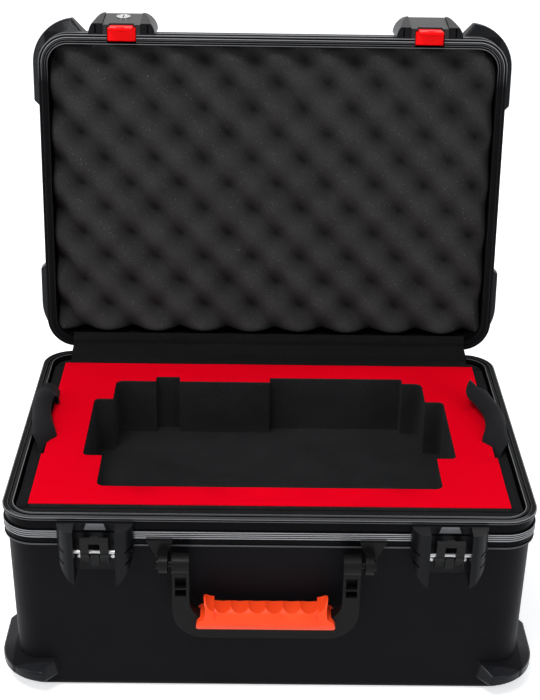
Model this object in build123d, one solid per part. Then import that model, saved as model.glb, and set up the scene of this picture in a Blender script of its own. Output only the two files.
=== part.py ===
"""Moulded pedal case, lid open: +X right, +Y to the hinge, +Z up, origin at the base's floor centre.

The lid's pieces are drawn shut and then turned back about the hinge.
"""
from build123d import *
import os
from math import atan2, cos, hypot, radians, sin, tan

os.makedirs("parts", exist_ok=True)

# ---- the case, millimetres
case_width = 440.0       # across the rims
case_depth = 307.0       # front to back across the rims
base_height = 173.5      # floor to the base rim
lid_height = 60.0        # lid rim to the lid's outer face
corner_radius = 28.0     # plan corners of the rims
wall = 4.0               # moulded shell
wall_lean = 1.0          # degrees, walls lean in away from the rim
shell_edge_radius = 6.0
rim_gap = 0.3            # between the rims when shut
seat_gap = 0.3           # soft pieces and loosely seated pieces
slip = 0.05              # running fits, on the radius

# ---- rims, sizes inwards from the rim's outer face or along the wall from the rim plane
lip_width = 8.9
lip_thickness = 2.2
flange = 1.2
groove_depth = 1.8
groove_end = 12.0
band_end = 18.5
rim_height = 26.0
band_base = 0.7
rib_count = 4
rib_height = 0.9
skirt_depth = 1.2
bead_height = 1.6
bead_depth = 0.4
inner_flange_height = 8.0
tongue_width = 1.2
tongue_height = 0.9
tongue_inset = 4.9
tongue_fit = 0.5

# ---- corner bumpers, heights measured from the closed face
base_bumper_proud = 15.2
lid_bumper_proud = 14.5
bumper_foot = 14.0       # flat side towards the closed face
bumper_crest = 23.5      # outer edge of the sloping side
bumper_root = 30.0       # where the sloping side meets the wall
bumper_radius = 43.0     # plan corner at the outer edge
bumper_front_length = 36.0
bumper_side_length = 77.0
bumper_ramp = 14.0
bumper_flare = 3.0       # ends reach further at the foot
bumper_round = 2.5

# ---- hinge
lid_lean = 6.28          # degrees past upright when open
hinge_gap = 10.5         # base rim to the open lid's rim plane
hinge_end = 28.0         # case side to the hinge's end
knuckle_radius = 4.2
knuckle_length = 24.0
knuckle_gap = 0.6
hinge_pin_radius = 2.0
leaf_thickness = 1.5
leaf_height = 19.0
leaf_relief = 0.2        # keeps the knuckle straps off the other rim
hinge_rivet_count = 8
hinge_rivet_radius = 2.6
hinge_rivet_height = 1.2

# ---- foam
lining_outer = 10.6      # rim face to the lining's outer side
lining_side = 10.0       # lining thickness left and right
lining_end = 12.4        # lining thickness front and back
lining_drop = 4.5        # lining top below the rim
floor_foam_thickness = 10.0
foam_edge_radius = 9.6
tray_gap = 0.4
tray_drop = 1.8          # tray top below the rim
tray_thickness = 72.0
tray_sheet_thickness = 2.0
support_wall = 20.0
unit_width = 292.0       # the recess for the pedal unit
unit_depth = 194.0
unit_centre_y = -3.0
recess_depth = 54.0
recess_corner = 7.0
side_notch_reach = 17.0
side_notch_length = 106.0
side_notch_y = 4.0
back_notch_reach = 9.0
back_notches = ((-97.0, 23.0), (64.0, 127.0))   # centre and length along X
notch_corner = 5.0
lid_foam_drop = 5.0
lid_foam_edge = 9.4
lid_foam_hinge_edge = 14.0

# ---- pull straps
strap_width = 25.0
strap_thickness = 1.5
strap_tail_y = (-34.0, 58.0)
strap_tail_length = 58.0
strap_slot = 2.2
strap_overlap = 9.0      # slack lying out over the lining
strap_slack_width = 24.0
strap_slack_height = 5.0

# ---- fabric strip over the hinge
cover_end = 24.0         # case side to the fabric's end
cover_thickness = 2.5

# ---- latches
latch_half = 31.0
latch_gap = 9.5          # latch to the bumpers' near end, both measured from the case's side
latch_shift = 2.2        # the pair of latches, to the right of the middle
cheek_proud = 17.0
hollow_half = 16.8
base_latch_top = 2.7     # below the rim
base_latch_drop = 50.0
bridge_height = 6.8
bridge_proud = 3.0
back_plate = 1.5
axle_drop = 25.9         # below the base rim
axle_proud = 9.0
axle_radius = 1.75
prong_inner = 4.5
prong_outer = 11.5
claw_swing = 12.0        # degrees, let go to hooked
claw_top = 10.0          # below the base rim when hooked
claw_thickness = 3.7
tooth_half = 3.2
tooth_depth = 1.9
tooth_height = 3.0
roller_radius = 1.6
roller_drop = 9.6
nose_half = 11.2
nose_inner = 5.6         # nose's inner side, out from the rim's front face
nose_thickness = 2.8
nose_drop = 17.0         # below the lid rim
claw_clearance = 0.5     # between the nose and the hooked claw
plate_half = 17.4
plate_low_proud = 9.2
plate_high_proud = 15.0
plate_rise = 40.0
plate_top = 44.0
plate_skin = 2.0
trigger_half = 13.3
trigger_out = 7.0
trigger_in = 6.0
trigger_chamfer = 1.0
thumb_height = 5.0
trigger_height = 11.6
trigger_fit = 0.4
trigger_travel = 2.0
lock_radius = 5.0
lock_rise = 26.0
lock_ring_radius = 6.6
cheek_slot = 1.6         # slot in the near end of each lid cheek

# ---- handle
pivot_drop = 34.7        # below the base rim
pivot_proud = 11.5
bracket_gap = 14.5       # latch to the handle bracket
bracket_flare = 11.0     # bracket plate beyond its ear
ear_thickness = 7.0
ear_gap = 3.5            # ear to the handle's arm
arm_width = 14.0
handle_shift = -2.6      # the handle, to the left of the middle
handle_pin_radius = 3.0
ear_radius = 8.0
bail_thickness = 12.0
bail_drop = 69.0         # pivot to the bail's lower edge
bail_bar = 18.0
bail_corner = 26.0
bail_corner_step = 8.0   # inner corner below the outer corner's radius
arm_pockets = ((28.0, 21.5), (20.0, 9.5))   # below the pivot
pocket_half = 4.6
pocket_depth = 7.0
grip_gap = 5.5           # arm to the grip's end
grip_low = 7.0           # above the bail's lower edge
grip_height = 23.4
grip_ear = 6.0           # the grip's ends stand above its middle
grip_thickness = 23.5
grip_scallops = 6
grip_scallop_depth = 3.2

# ---- worked out
half_width = case_width / 2
half_depth = case_depth / 2
front = -half_depth
lid_rim = base_height + rim_gap
beyond = 2 * (case_width + case_depth + base_height)   # reach of cutting blocks
latch_x = half_width - bumper_front_length - latch_gap - latch_half
latch_places = (latch_shift - latch_x, latch_shift + latch_x)
ear_inner = latch_x - latch_half - bracket_gap - bracket_flare - ear_thickness
arm_outer = ear_inner - ear_gap
grip_half = arm_outer - arm_width - grip_gap
hinge_length = case_width - 2 * hinge_end
cover_width = case_width - 2 * cover_end
shell_inset = groove_depth + flange + 0.1
lean_sin = sin(radians(lid_lean))
lean_cos = cos(radians(lid_lean))
# On this line the shut rims meet and the open lid's lower edge stands level with them.
hinge_y = half_depth + hinge_gap / 2
hinge_z = lid_rim - hinge_gap / 2 * lean_cos / (1 + lean_sin)
open_angle = 90.0 + lid_lean
hinge_axis = Axis((0, hinge_y, hinge_z), (-1, 0, 0))
pivot_y = front - pivot_proud
pivot_z = base_height - pivot_drop
axle_y = front - axle_proud
claw_back = front - nose_inner - nose_thickness - claw_clearance
axle_z = base_height - axle_drop
tray_top = base_height - tray_drop
tray_floor = tray_top - tray_sheet_thickness - tray_thickness
foam_floor = wall + seat_gap + floor_foam_thickness
opening_half_x = half_width - lining_outer - lining_side
opening_half_y = half_depth - lining_outer - lining_end
tray_half_x = opening_half_x - tray_gap
tray_half_y = opening_half_y - tray_gap


# ---- helpers
def rim_prism(inset, low, high):
    """A block with the rims' plan, inset from their outer face."""
    radius = max(corner_radius - inset, 1.0)
    plan = RectangleRounded(case_width - 2 * inset, case_depth - 2 * inset, radius)
    return extrude(Pos(0, 0, low) * plan, high - low)


def rim_ring(outer, inner, low, high):
    return rim_prism(outer, low, high) - rim_prism(inner, low - 1, high + 1)


def box(x0, x1, y0, y1, z0, z1):
    return Pos((x0 + x1) / 2, (y0 + y1) / 2, (z0 + z1) / 2) * Box(x1 - x0, y1 - y0, z1 - z0)


def side_solid(points, x0, x1):
    """A prism along X from a (y, z) outline."""
    outline = make_face(Polyline(*[(x0, y, z) for y, z in points], close=True))
    return extrude(outline, x1 - x0, dir=(1, 0, 0))


def front_solid(points, y0, y1):
    """A prism along Y from an (x, z) outline."""
    outline = make_face(Polyline(*[(x, y0, z) for x, z in points], close=True))
    return extrude(outline, y1 - y0, dir=(0, 1, 0))


def rod_x(radius, x0, x1, y, z):
    return Pos((x0 + x1) / 2, y, z) * Rot(0, 90, 0) * Cylinder(radius, x1 - x0)


def rod_y(radius, y0, y1, x, z):
    return Pos(x, (y0 + y1) / 2, z) * Rot(90, 0, 0) * Cylinder(radius, y1 - y0)


def opened(shape):
    """Turns a piece of the shut lid back to where the open lid has it."""
    return shape.rotate(hinge_axis, open_angle)


def write(name, shape):
    shape.label = name
    export_step(shape, f"parts/{name}.step")


# ---- shells: drawn as a cup, rim at z = 0 and closed face at z = height
def leaning_block(inset, height):
    plan = RectangleRounded(case_width - 2 * inset, case_depth - 2 * inset, corner_radius - inset)
    return extrude(plan, height, taper=wall_lean)


def cut_end(lobe, start, along, down):
    """Trims a bumper's end to the plane through start and two directions in it."""
    normal = Vector(*along).cross(Vector(*down))
    return split(lobe, Plane(origin=start, z_dir=normal), keep=Keep.BOTTOM)


def bumper(height, proud):
    """The corner bumper at +X, -Y: flat towards the closed face, sloping off towards the rim, ends ramped."""
    lean = shell_inset + height * tan(radians(wall_lean))
    a = half_width - lean
    b = half_depth - lean
    foot = height - bumper_foot
    crest = height - bumper_crest
    root = height - bumper_root
    plan = RectangleRounded(2 * (a + proud), 2 * (b + proud), bumper_radius)
    waist = RectangleRounded(2 * (a - wall), 2 * (b - wall), bumper_radius - proud - wall)
    sunk = root - wall * (crest - root) / proud
    slab = extrude(Pos(0, 0, crest) * plan, foot - crest)
    slab += loft([Pos(0, 0, sunk) * waist, Pos(0, 0, crest) * plan], ruled=True)
    x0 = a - bumper_front_length
    y1 = -b + bumper_side_length
    depth = corner_radius / 2
    reach = proud + 1
    ends = bumper_ramp + bumper_flare
    region = box(x0 - ends, a + reach, -b - reach, -b + depth, sunk - 1, height)
    region += box(a - depth, a + reach, -b - reach, y1 + ends, sunk - 1, height)
    thickness = foot - root
    lobe = slab & region
    lobe = cut_end(lobe, (x0, -b, root), (bumper_ramp, -proud, 0), (-bumper_flare, 0, thickness))
    lobe = cut_end(lobe, (a, y1, root), (0, bumper_flare, thickness), (proud, -bumper_ramp, 0))
    boxes = [(edge, edge.bounding_box()) for edge in lobe.edges()]
    outer = [edge for edge, size in boxes if size.max.X > a + 2 or size.min.Y < -b - 2]
    return fillet(outer, bumper_round)


def shell_cup(height, corner):
    outside = leaning_block(shell_inset, height)
    outside = fillet(outside.faces().sort_by(Axis.Z)[-1].edges(), shell_edge_radius)
    for piece in (corner, mirror(corner, Plane.YZ)):
        outside += piece
        outside += mirror(piece, Plane.XZ)
    inside = leaning_block(shell_inset + wall, height - wall)
    inside = fillet(inside.faces().sort_by(Axis.Z)[-1].edges(), shell_edge_radius - wall)
    return outside - inside - rim_prism(-1, -1, lip_thickness)


def as_base(cup):
    return Pos(0, 0, base_height) * mirror(cup, Plane.XY)


def as_lid(cup):
    return Pos(0, 0, lid_rim) * cup


def rim_cup():
    """The aluminium rim: a lip over the shell's edge, a grooved and ribbed outer flange, an inner flange."""
    back = groove_depth + flange
    rim = rim_ring(0, lip_width, 0, lip_thickness)
    rim += rim_ring(groove_depth, back, lip_thickness, groove_end)
    rim += rim_ring(band_base, back, groove_end, band_end)
    pitch = (band_end - groove_end - rib_height) / (rib_count - 1)
    for i in range(rib_count):
        low = groove_end + i * pitch
        rim += rim_ring(0, band_base + 0.1, low, low + rib_height)
    rim += rim_ring(skirt_depth, back, band_end, rim_height)
    rim += rim_ring(bead_depth, back, rim_height - bead_height, rim_height)
    rim += rim_ring(lip_width - flange, lip_width, lip_thickness, inner_flange_height)
    return rim


def rim_slot():
    return rim_ring(tongue_inset - tongue_fit, tongue_inset + tongue_width + tongue_fit,
                    -0.1, tongue_height + tongue_fit)


def rim_tongue():
    return rim_ring(tongue_inset, tongue_inset + tongue_width, -tongue_height, 0.1)


def trigger_notches(low, high):
    """Clears the lid's edge behind each trigger."""
    reach = trigger_in + trigger_travel + seat_gap
    half = trigger_half + trigger_fit
    return [box(x - half, x + half, front - 1, front + reach, low, high) for x in latch_places]


# ---- hinge
def knuckles(first):
    """Every second knuckle along the pin, from the first or the second on."""
    count = int(hinge_length / knuckle_length)
    start = -count * knuckle_length / 2
    spans = []
    for i in range(first, count, 2):
        x0 = start + i * knuckle_length + knuckle_gap / 2
        spans.append((x0, x0 + knuckle_length - knuckle_gap))
    return spans


def hinge_leaf(first, low, high):
    """A strip on the rim's rear face with its knuckles round the pin."""
    y0 = half_depth
    leaf = box(-hinge_length / 2, hinge_length / 2, y0, y0 + leaf_thickness, low, high)
    near = low if first else high
    for x0, x1 in knuckles(first):
        leaf += rod_x(knuckle_radius, x0, x1, hinge_y, hinge_z)
        z0, z1 = sorted((near, hinge_z))
        leaf += box(x0, x1, y0 + leaf_relief, y0 + leaf_thickness, z0, z1)
    for x0, x1 in knuckles(1 - first):
        leaf -= box(x0 - knuckle_gap, x1 + knuckle_gap, y0 - 1, hinge_y + 9,
                    hinge_z - knuckle_radius - 0.5, hinge_z + knuckle_radius + 0.5)
    return leaf - rod_x(hinge_pin_radius + slip, -half_width, half_width, hinge_y, hinge_z)


def hinge_rivets(z):
    pitch = hinge_length / hinge_rivet_count
    rivets = []
    for i in range(hinge_rivet_count):
        x = (i + 0.5) * pitch - hinge_length / 2
        y = half_depth + leaf_thickness
        head = rod_y(hinge_rivet_radius, y, y + hinge_rivet_height, x, z)
        rivets.append(chamfer(head.edges().sort_by(Axis.Y)[-1], hinge_rivet_height / 2))
    return Compound(children=rivets)


# ---- foam in the base
def floor_foam():
    slab = rim_prism(lining_outer, wall + seat_gap, foam_floor)
    return fillet(slab.faces().sort_by(Axis.Z)[0].edges(), foam_edge_radius)


def lining_ring():
    top = base_height - lining_drop
    low = foam_floor + seat_gap
    ring = rim_prism(lining_outer, low, top)
    return ring - box(-opening_half_x, opening_half_x, -opening_half_y, opening_half_y, low - 1, top + 1)


def lining_part(ring, side):
    """Front and back strips run the whole width, side strips fit between them."""
    y = opening_half_y
    if side == "front":
        return ring & box(-beyond, beyond, -beyond, -y, 0, beyond)
    if side == "back":
        return ring & box(-beyond, beyond, y, beyond, 0, beyond)
    x0, x1 = (-beyond, 0) if side == "left" else (0, beyond)
    return ring & box(x0, x1, -y + seat_gap, y - seat_gap, 0, beyond)


def support_foam():
    """The block under the tray, with the store in it."""
    low = foam_floor + seat_gap
    high = tray_floor - seat_gap
    x = tray_half_x
    y = tray_half_y
    return box(-x, x, -y, y, low, high) - box(
        -x + support_wall, x - support_wall, -y + support_wall, y - support_wall, low - 1, high + 1)


# ---- tray
def recess_plan():
    plan = Pos(0, unit_centre_y) * RectangleRounded(unit_width, unit_depth, recess_corner)
    notch = RectangleRounded(unit_width + 2 * side_notch_reach, side_notch_length, notch_corner)
    plan += Pos(0, side_notch_y) * notch
    for x, length in back_notches:
        deep = 4 * back_notch_reach
        y = unit_centre_y + unit_depth / 2 + back_notch_reach - deep / 2
        plan += Pos(x, y) * RectangleRounded(length, deep, notch_corner / 2)
    return plan


def strap_slots(low, high):
    slots = []
    for side in (-1, 1):
        x0, x1 = sorted((side * (tray_half_x - strap_slot), side * (tray_half_x + 1)))
        for y in strap_tail_y:
            half = strap_width / 2 + seat_gap
            slots.append(box(x0, x1, y - half, y + half, low, high))
    return slots


def tray_block(low, high, recess_low):
    block = box(-tray_half_x, tray_half_x, -tray_half_y, tray_half_y, low, high)
    block -= extrude(Pos(0, 0, recess_low) * recess_plan(), high - recess_low + 1)
    for slot in strap_slots(low - 1, high + 1):
        block -= slot
    return block


def strap(side):
    """Two tails down the tray's side, and the slack between them laid over the tray's edge and the lining."""
    low = tray_top + seat_gap
    high = low + strap_slack_height
    outer = tray_half_x - (strap_slot - strap_thickness) / 2
    half = strap_width / 2
    over = outer + strap_overlap
    solid = box(over - strap_slack_width, over, strap_tail_y[0] - half, strap_tail_y[1] + half, low, high)
    solid = fillet(solid.edges().filter_by(Axis.Y).sort_by(Axis.Z)[-2:], strap_slack_height * 0.4)
    for y in strap_tail_y:
        solid += box(outer - strap_thickness, outer, y - half, y + half, low - strap_tail_length, low + 1)
    return solid if side > 0 else mirror(solid, Plane.YZ)


# ---- lid foam and hinge cover
def lid_foam():
    low = lid_rim + lid_foam_drop
    high = lid_rim + lid_height - wall - seat_gap
    slab = rim_prism(lid_foam_edge, low, high)
    slab = fillet(slab.faces().sort_by(Axis.Z)[-1].edges(), foam_edge_radius)
    return slab - box(-case_width, case_width, half_depth - lid_foam_hinge_edge, case_depth, 0, case_width)


def lid_point(t, n):
    """(y, z) on the open lid: t up from its hinge edge in the rim plane, n out of its mouth."""
    y = half_depth + hinge_gap + t * lean_sin - n * lean_cos
    return y, lid_rim + t * lean_cos + n * lean_sin


def hinge_cover():
    """Fabric from behind the tray, over the base rim and the hinge, up into the lid."""
    half = cover_thickness / 2
    rest = base_height - lining_drop + seat_gap + half
    over = base_height + seat_gap + half
    inner = half_depth - lip_width
    clear = tongue_height + seat_gap + half
    route = [
        (opening_half_y + 0.5, rest),
        (inner - 3.8, rest),
        (inner - 1.0, over),
        (half_depth - 1.0, over),
        lid_point(4.0, clear),
        lid_point(lip_width + 1.0, clear),
        lid_point(lip_width + 3.2, -3.0),
    ]
    left = []
    right = []
    for i, (y, z) in enumerate(route):
        before = route[max(i - 1, 0)]
        after = route[min(i + 1, len(route) - 1)]
        length = hypot(after[0] - before[0], after[1] - before[1])
        ny, nz = -(after[1] - before[1]) / length, (after[0] - before[0]) / length
        left.append((y + half * ny, z + half * nz))
        right.append((y - half * ny, z - half * nz))
    return side_solid(left + right[::-1], -cover_width / 2, cover_width / 2)


# ---- latches, drawn round their own centre line at x = 0
def cheek_section(inner, outer, proud, low, high, crown):
    """A cheek for +X on the rim's front face, flat next to the middle over the crown, then rounded off."""
    flat = inner + crown
    section = make_face([
        Line((inner, front), (outer, front)),
        ThreePointArc((outer, front), (flat + (outer - flat) * 0.70, front - proud * 0.66), (flat, front - proud)),
        Line((flat, front - proud), (inner, front - proud)),
        Line((inner, front - proud), (inner, front)),
    ])
    return extrude(Pos(0, 0, low) * section, high - low)


def both_sides(solid):
    return solid + mirror(solid, Plane.YZ)


def base_latch_housing():
    top = base_height - base_latch_top
    low = top - base_latch_drop
    rim_low = base_height - rim_height
    wall_y = front + shell_inset + 0.4
    cheek = cheek_section(hollow_half, latch_half, cheek_proud, low, top, 4.3)
    cheek += box(hollow_half, latch_half - 2.0, front - 1, wall_y, low, rim_low - 0.1)
    outline = make_face([
        Line((hollow_half, 0, low), (hollow_half, 0, top)),
        Line((hollow_half, 0, top), (latch_half, 0, top)),
        Line((latch_half, 0, top), (latch_half, 0, low + 32)),
        ThreePointArc((latch_half, 0, low + 32), (latch_half - 3.6, 0, low + 13), (hollow_half + 1.2, 0, low)),
        Line((hollow_half + 1.2, 0, low), (hollow_half, 0, low)),
    ])
    cheek &= Pos(0, front + 20, 0) * extrude(outline, 60, dir=(0, -1, 0))
    for i in range(2):
        z = low + 22 + 11 * i
        groove = Pos(latch_half, front - cheek_proud / 2, z) * Rot(0, -28, 0) * Box(22, cheek_proud * 2, 1.4)
        cheek -= groove & box(latch_half - 6.5, latch_half + 9, front - cheek_proud - 5, front + 5, 0, beyond)
    housing = both_sides(cheek)
    x = hollow_half + 0.5
    housing += box(-x, x, front - back_plate, front, low + 5, rim_low + 14)
    housing += box(-x, x, front - back_plate, wall_y, low + 5, rim_low - 0.1)
    housing += box(-x, x, front - bridge_proud, front, top - bridge_height, top)
    return housing - rod_x(axle_radius + 0.02, -latch_half, latch_half, axle_y, axle_z)


def strike_tab():
    """A pale trapezoid lead-in on the bridge."""
    top = base_height - base_latch_top
    low = top - bridge_height + 1.0
    y = front - bridge_proud
    ramp = side_solid([(y, low), (y - 0.5, low), (y - 0.5, top - 1.5), (y, top - 0.2)], -12, 12)
    return ramp & front_solid([(-9.4, low - 1), (9.4, low - 1), (6.6, top + 1), (-6.6, top + 1)], y - 5, y + 5)


def claw():
    """The hooked catch on its axle, drawn hooked and then swung out to where it is let go."""
    out = claw_back - claw_thickness
    top = base_height - claw_top
    low = axle_z - 6.5
    body = box(prong_inner, prong_outer, out, claw_back, low, top)
    body += rod_x(4.2, prong_inner, prong_outer, axle_y, axle_z)
    body += box(0, prong_inner + 0.1, out, claw_back, top - 4.0, top)
    lug_low = axle_z - roller_drop - 3.0
    body += box(0, 3.5, out + 0.4, claw_back + 1.5, lug_low, low + 6)
    body += box(prong_outer - 1.0, prong_outer, out + 0.4, claw_back + 1.5, lug_low, low + 6)
    body += box(0, prong_outer, out + 1.2, claw_back, low - 0.1, low + 3)
    tooth_top = top - 0.4
    body += box(0, tooth_half, claw_back - 0.1, claw_back + tooth_depth, tooth_top - tooth_height, tooth_top)
    body = both_sides(body)
    body -= rod_x(axle_radius + slip, -latch_half, latch_half, axle_y, axle_z)
    return body - rod_x(roller_radius + 0.02, -latch_half, latch_half, claw_back, axle_z - roller_drop)


def claw_roller():
    return rod_x(roller_radius, -prong_outer, prong_outer, claw_back, axle_z - roller_drop)


def claw_let_go(shape):
    return shape.rotate(Axis((0, axle_y, axle_z), (1, 0, 0)), claw_swing)


def base_latch_rivets():
    y = front - back_plate
    rivets = []
    for x in (-13.6, 13.6):
        head = rod_y(2.0, y - 1.0, y, x, axle_z - 8.6)
        rivets.append(chamfer(head.edges().sort_by(Axis.Y)[0], 0.5))
    return Compound(children=rivets)


def plate_slope():
    """(rise, proud) of the lid latch's front face, low end first."""
    return (0.3, plate_low_proud), (plate_rise, plate_high_proud)


def lid_latch_housing():
    (z0, v0), (z1, v1) = plate_slope()
    inner = plate_half + 0.3
    high = lid_rim + plate_top + 2.5
    cheek = cheek_section(inner, latch_half, v1 + 1.2, lid_rim, high, 0.6)
    middle = (inner + latch_half) / 2
    slot = cheek_slot / 2
    cheek -= box(middle - slot, middle + slot, front - v0 - 0.5, front - 1.5, lid_rim - 1, lid_rim + 5)
    cheek += box(inner, latch_half - 2.0, front - 1, front + shell_inset + 0.4, lid_rim + rim_height + 0.1, high)
    cap = side_solid([
        (front - v0 - 1.2, lid_rim),
        (front - v1 - 1.2, lid_rim + z1 - 4),
        (front - v1 - 0.2, lid_rim + z1),
        (front - 2.0, high),
        (front + 10, high),
        (front + 10, lid_rim),
    ], -latch_half - 5, latch_half + 5)
    cheek &= cap
    housing = both_sides(cheek)
    top = lid_rim + plate_top
    housing += box(-inner, inner, front - 2.0, front + shell_inset + 0.4, top + 0.3, high)
    return housing


def lid_latch_plate():
    """The cover over the trigger, its front face sloping out away from the rim."""
    (z0, v0), (z1, v1) = plate_slope()
    low = lid_rim + z0
    mid = lid_rim + z1
    top = lid_rim + plate_top
    solid = side_solid([(front, low), (front - v0, low), (front - v1, mid),
                        (front - v1 + 3, top), (front, top)], -plate_half, plate_half)
    s = plate_skin
    hollow = side_solid([(front + 1, low - 1), (front - v0 + s, low - 1), (front - v1 + s, mid - 1),
                         (front - v1 + 3 + s, top - s), (front + 1, top - s)],
                        -trigger_half - trigger_fit, trigger_half + trigger_fit)
    edges = solid.edges().filter_by(Axis.X).sort_by(Axis.Y)[:2]
    thumb_half = nose_half + trigger_fit
    thumb = box(-thumb_half, thumb_half, front - v1, front - 1, low - 1, low + thumb_height)
    return fillet(edges, 0.8) - hollow - thumb


def lock_plane():
    (z0, v0), (z1, v1) = plate_slope()
    proud = v0 + (v1 - v0) * (lock_rise - z0) / (z1 - z0)
    tilt = atan2(v1 - v0, z1 - z0)
    return Plane(origin=(0, front - proud, lid_rim + lock_rise), x_dir=(1, 0, 0),
                 z_dir=(0, -cos(tilt), -sin(tilt)))


def lock_disc(radius, low, high):
    return lock_plane() * (Pos(0, 0, (low + high) / 2) * Cylinder(radius, high - low))


def lock_cylinder():
    barrel = lock_disc(lock_radius, -8.0, 0.9)
    keyway = lock_plane() * (Pos(0, 0, -0.6) * Box(1.3, 6.4, 3.2))
    return barrel - keyway


def lock_ring():
    return lock_disc(lock_ring_radius, 0, 1.1) - lock_disc(lock_radius + slip, -1, 2)


def trigger():
    """The red push block in the lid's edge; the claw's tooth enters the window in its nose."""
    low = lid_rim + 0.4
    outer = front - trigger_out + seat_gap
    block = box(-trigger_half, trigger_half, outer, front + trigger_in, low, low + trigger_height)
    block = chamfer(block.faces().sort_by(Axis.Z)[0].edges(), trigger_chamfer)
    y1 = front - nose_inner
    y0 = y1 - nose_thickness
    nose = box(-nose_half, nose_half, y0, y1, lid_rim - nose_drop, low + 4.0)
    nose = fillet(nose.edges().filter_by(Axis.Y).sort_by(Axis.Z)[:2], 2.5)
    nose = chamfer(nose.faces().sort_by(Axis.Z)[0].edges().filter_by(Axis.X), 0.8)
    window_top = base_height - claw_top + 0.8
    half = tooth_half + 0.6
    return block + nose - box(-half, half, y0 - 1, y1 + 1, window_top - tooth_height - 2.4, window_top)


# ---- handle
def handle_bracket():
    """The left bracket: a tapered plate on the rim and wall, with one ear."""
    rim_low = base_height - rim_height
    wall_y = front + shell_inset + 0.4
    top = base_height - band_end
    low = pivot_z - ear_radius - 3.5
    inner = -ear_inner
    outer = -ear_inner - ear_thickness
    outline = [(outer - bracket_flare, top), (inner + 4, top), (inner, low + 14), (inner, low),
               (outer, low), (outer - 4, low + 14)]
    plate = front_solid(outline, front - 3.0, front - 0.0)
    plate += front_solid(outline, front - 0.5, wall_y) & box(-beyond, 0, front - 5, front + 20, 0, rim_low - 0.1)
    ear = box(outer, inner, pivot_y, front - 1, pivot_z - ear_radius, pivot_z + ear_radius)
    ear += rod_x(ear_radius, outer, inner, pivot_y, pivot_z)
    return plate + ear - rod_x(handle_pin_radius + 0.02, -beyond, 0, pivot_y, pivot_z)


def handle_pin():
    outer = -ear_inner - ear_thickness
    pin = rod_x(handle_pin_radius, outer - 0.5, -arm_outer + arm_width - 1.0, pivot_y, pivot_z)
    return pin + rod_x(handle_pin_radius + 1.6, outer - 2.0, outer - 0.1, pivot_y, pivot_z)


def bail_outline(low, high):
    """Front outline of the bail, from its lower edge to the top of the arms."""
    tall = high - low + 2 * bail_corner
    outer = Pos(0, low + tall / 2) * RectangleRounded(2 * arm_outer, tall, bail_corner)
    mouth = RectangleRounded(2 * (arm_outer - arm_width), tall, bail_corner - bail_corner_step)
    outer -= Pos(0, low + bail_bar + tall / 2) * mouth
    return outer - Pos(0, high + tall) * Rectangle(4 * arm_outer, 2 * tall)


def handle_bail():
    low = pivot_z - bail_drop
    knuckle = ear_radius + 0.7
    outline = Plane.XZ * bail_outline(low, pivot_z + knuckle)
    half = bail_thickness / 2
    bail = Pos(0, pivot_y + 30, 0) * extrude(outline, 60)
    side = box(-arm_outer - 1, arm_outer + 1, pivot_y - half, pivot_y + half, low - 1, pivot_z)
    bail &= side + rod_x(knuckle, -arm_outer - 1, arm_outer + 1, pivot_y, pivot_z)
    face = pivot_y - half
    for side in (-1, 1):
        x = side * (arm_outer - arm_width / 2)
        for low, high in arm_pockets:
            bail -= box(x - pocket_half, x + pocket_half, face - 1, face + pocket_depth,
                        pivot_z - low, pivot_z - high)
        bail -= rod_x(handle_pin_radius + slip, x - arm_width, x + arm_width, pivot_y, pivot_z)
    return bail


def grip_sleeve(x0, x1, low, height):
    radius = min(grip_thickness, grip_height) / 2 - 0.1
    section = Plane.YZ * RectangleRounded(grip_thickness, height, radius)
    return extrude(Pos(x0, pivot_y, low + height / 2) * section, x1 - x0, dir=(1, 0, 0))


def handle_grip(bail):
    """The moulded grip round the bail's bar: a round middle with finger scallops, taller pointed ends."""
    low = pivot_z - bail_drop + grip_low
    high = low + grip_height
    ear = high + grip_ear
    x = grip_half
    edge = x - 6.0
    run = edge - 8.5
    crest = high - 0.6
    pitch = 2 * run / grip_scallops
    lines = [
        Line((-edge, 0, low), (edge, 0, low)),
        ThreePointArc((edge, 0, low), (x, 0, low + 8), (edge, 0, low + 15)),
        ThreePointArc((edge, 0, low + 15), (edge - 1.4, 0, high - 1), (edge, 0, ear)),
        Line((edge, 0, ear), (edge - 1.5, 0, ear)),
        ThreePointArc((edge - 1.5, 0, ear), (edge - 4, 0, high + 1.2), (run, 0, crest)),
    ]
    for i in range(grip_scallops):
        x0 = run - i * pitch
        middle = (x0 - pitch / 2, 0, crest - grip_scallop_depth)
        lines.append(ThreePointArc((x0, 0, crest), middle, (x0 - pitch, 0, crest)))
    lines += [
        ThreePointArc((-run, 0, crest), (-edge + 4, 0, high + 1.2), (-edge + 1.5, 0, ear)),
        Line((-edge + 1.5, 0, ear), (-edge, 0, ear)),
        ThreePointArc((-edge, 0, ear), (-edge + 1.4, 0, high - 1), (-edge, 0, low + 15)),
        ThreePointArc((-edge, 0, low + 15), (-x, 0, low + 8), (-edge, 0, low)),
    ]
    outline = Pos(0, pivot_y + 30, 0) * extrude(make_face(lines), 60, dir=(0, -1, 0))
    tall = grip_height + grip_ear
    grip = outline & grip_sleeve(-run, run, low, grip_height)
    grip += outline & grip_sleeve(-x - 1, -run, low, tall)
    grip += outline & grip_sleeve(run, x + 1, low, tall)
    return grip - bail


# ---- the assembly
def write_shells():
    corner = bumper(base_height, base_bumper_proud)
    write("base_shell", as_base(shell_cup(base_height, corner)))
    write("base_rim", as_base(rim_cup() - rim_slot()))
    corner = bumper(lid_height, lid_bumper_proud)
    lid_shell = as_lid(shell_cup(lid_height, corner))
    lid_edge = as_lid(rim_cup() + rim_tongue())
    for notch in trigger_notches(lid_rim - 2, lid_rim + trigger_height + 1.4):
        lid_shell -= notch
        lid_edge -= notch
    write("lid_shell", opened(lid_shell))
    write("lid_rim", opened(lid_edge))


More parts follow.
